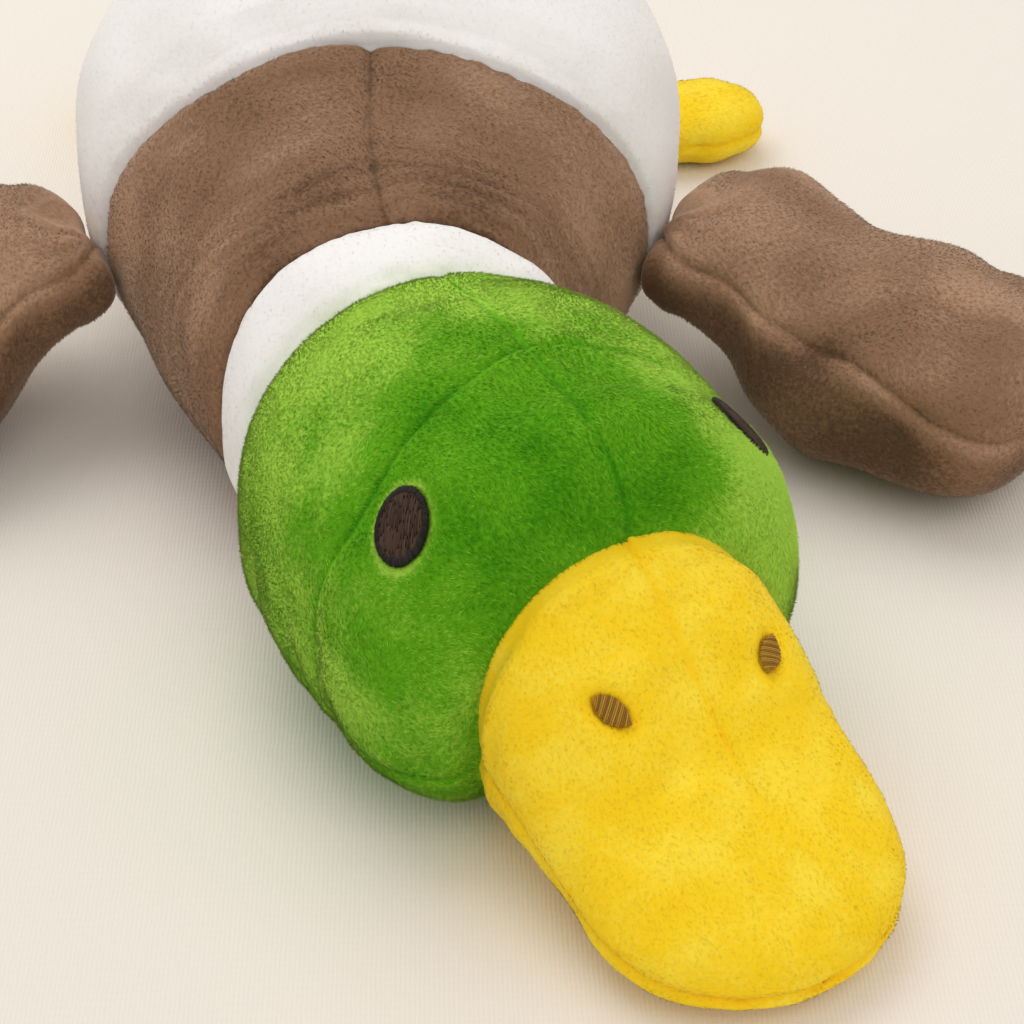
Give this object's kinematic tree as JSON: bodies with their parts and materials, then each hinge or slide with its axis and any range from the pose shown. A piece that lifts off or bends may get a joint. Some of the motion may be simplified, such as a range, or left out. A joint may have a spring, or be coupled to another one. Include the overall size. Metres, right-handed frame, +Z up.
{
  "type": "plush duck",
  "caption": "Stuffed plush mallard toy lying on its belly, with a turned head, flat padded wings and feet.",
  "frame": {"origin": "centre of the bounding box in plan, on the surface that the toy lies on", "axes": "the toy faces -Y, its left side is +X, and +Z is up"},
  "size_m": [0.405, 0.4908, 0.1368],
  "materials": {
    "white_plush": "short dense white plush pile",
    "brown_plush": "short dense brown plush pile",
    "green_plush": "short dense green plush pile with a lighter sheen where it is brushed",
    "yellow_plush": "short dense yellow plush pile",
    "polyester_stuffing": "loose white polyester fibre, packed firm",
    "dark_brown_thread": "satin stitch embroidery",
    "olive_thread": "satin stitch embroidery"
  },
  "bodies": {
    "torso": {"body_back_panel": "white_plush", "body_belly_panel": "white_plush", "neck_collar": "white_plush", "tail_upper": "white_plush", "tail_lower": "white_plush", "chest_left": "brown_plush", "chest_right": "brown_plush", "body_stuffing": "polyester_stuffing", "chest_stuffing": "polyester_stuffing", "neck_stuffing": "polyester_stuffing", "tail_stuffing": "polyester_stuffing"},
    "head": {"head_back_left": "green_plush", "head_back_right": "green_plush", "head_front_left": "green_plush", "head_front_right": "green_plush", "head_under_panel": "green_plush", "bill_upper_left": "yellow_plush", "bill_upper_right": "yellow_plush", "bill_lower": "yellow_plush", "head_stuffing": "polyester_stuffing", "bill_stuffing": "polyester_stuffing", "eye_left": "dark_brown_thread", "eye_right": "dark_brown_thread", "nostril_left": "olive_thread", "nostril_right": "olive_thread"},
    "wing_left": {"wing_left_upper": "brown_plush", "wing_left_lower": "brown_plush", "wing_left_stuffing": "polyester_stuffing"},
    "foot_left": {"foot_left_upper": "yellow_plush", "foot_left_lower": "yellow_plush", "foot_left_stuffing": "polyester_stuffing"},
    "wing_right": {"wing_right_upper": "brown_plush", "wing_right_lower": "brown_plush", "wing_right_stuffing": "polyester_stuffing"},
    "foot_right": {"foot_right_upper": "yellow_plush", "foot_right_lower": "yellow_plush", "foot_right_stuffing": "polyester_stuffing"}
  },
  "joints": [
    {"name": "head_turn", "type": "hinge", "parent": "torso", "child": "head", "pos_m": [0.00981, -0.06654, 0], "axis": [0, 0, 1], "range_deg": [-12, 12], "deforming": ["neck_collar", "neck_stuffing"]},
    {"name": "wing_left_lift", "type": "hinge", "parent": "torso", "child": "wing_left", "pos_m": [0.10101, 0.01932, 0.04728], "axis": [-0.454, -0.891, 0], "range_deg": [-20, 60]},
    {"name": "foot_left_lift", "type": "hinge", "parent": "torso", "child": "foot_left", "pos_m": [0.0736, 0.16337, 0.03539], "axis": [0.1392, -0.9903, 0], "range_deg": [-20, 45]},
    {"name": "wing_right_lift", "type": "hinge", "parent": "torso", "child": "wing_right", "pos_m": [-0.10101, 0.01932, 0.04728], "axis": [-0.454, 0.891, 0], "range_deg": [-20, 60]},
    {"name": "foot_right_lift", "type": "hinge", "parent": "torso", "child": "foot_right", "pos_m": [-0.07442, 0.16363, 0.0351], "axis": [0.8829, 0.4695, 0], "range_deg": [-20, 20]}
  ]
}
